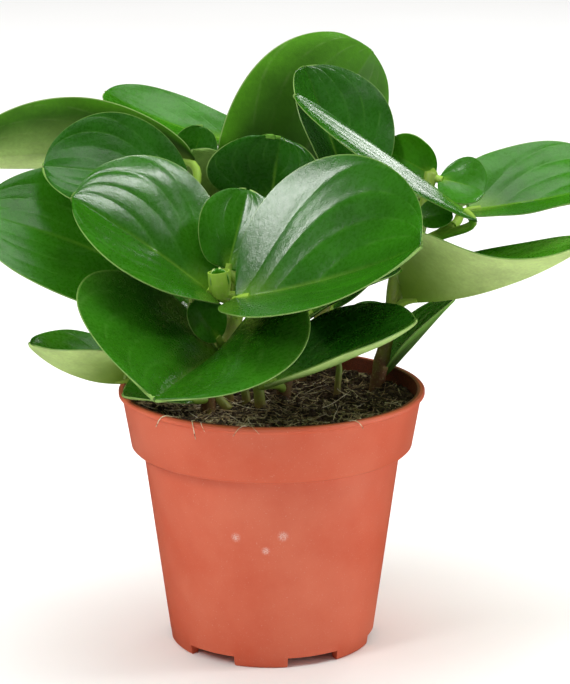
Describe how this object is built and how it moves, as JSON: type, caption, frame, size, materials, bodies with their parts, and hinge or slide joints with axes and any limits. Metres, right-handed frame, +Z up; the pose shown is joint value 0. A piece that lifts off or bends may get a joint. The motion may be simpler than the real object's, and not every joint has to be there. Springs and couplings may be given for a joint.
{
  "type": "potted peperomia",
  "caption": "Bushy potted peperomia: broad, glossy, fleshy green leaves on short stalks round upright stems, in a tapered round plastic nursery pot filled with peat.",
  "frame": {"origin": "centre of the flat pad under the pot, on the surface that the pot stands on", "axes": "+Z up along the pot's axis; -Y towards the side that the picture shows; +X to the right as that side is seen"},
  "size_m": [0.2653, 0.2381, 0.2315],
  "materials": {
    "pot": "terracotta-coloured moulded polypropylene, satin, a little scuffed and dusty",
    "peat": "dark brown peat with pale fibres and fine roots, matte",
    "stem": "green to red-brown fleshy stem, satin",
    "leaf": "thick waxy green leaf, glossy above and paler and duller below"
  },
  "bodies": {
    "root": {"leaf_back_left_pale": "leaf", "leaf_back_right": "leaf", "leaf_back_top": "leaf", "leaf_big_front": "leaf", "leaf_bud": "leaf", "leaf_centre_back": "leaf", "leaf_centre_dark": "leaf", "leaf_far_left": "leaf", "leaf_inner_back": "leaf", "leaf_left_big": "leaf", "leaf_left_inner": "leaf", "leaf_left_low": "leaf", "leaf_left_upper": "leaf", "leaf_low_front": "leaf", "leaf_low_inner": "leaf", "leaf_rear_left_back": "leaf", "leaf_rear_left_low": "leaf", "leaf_rear_left_side": "leaf", "leaf_rear_right_back": "leaf", "leaf_rear_right_low": "leaf", "leaf_rear_right_mid": "leaf", "leaf_rear_right_side": "leaf", "leaf_right_back_low": "leaf", "leaf_right_boat": "leaf", "leaf_right_curl": "leaf", "leaf_right_edge_on": "leaf", "leaf_right_low": "leaf", "leaf_right_low_back": "leaf", "leaf_right_upper": "leaf", "leaf_right_young_back": "leaf", "leaf_right_young_front": "leaf", "leaf_soil_front_left": "leaf", "leaf_upper_left_front": "leaf", "leaf_young_upright": "leaf", "peat": "peat", "pot": "pot", "stem_back": "stem", "stem_centre": "stem", "stem_front": "stem", "stem_left": "stem", "stem_rear_left": "stem", "stem_rear_right": "stem", "stem_right": "stem"}
  },
  "joints": []
}
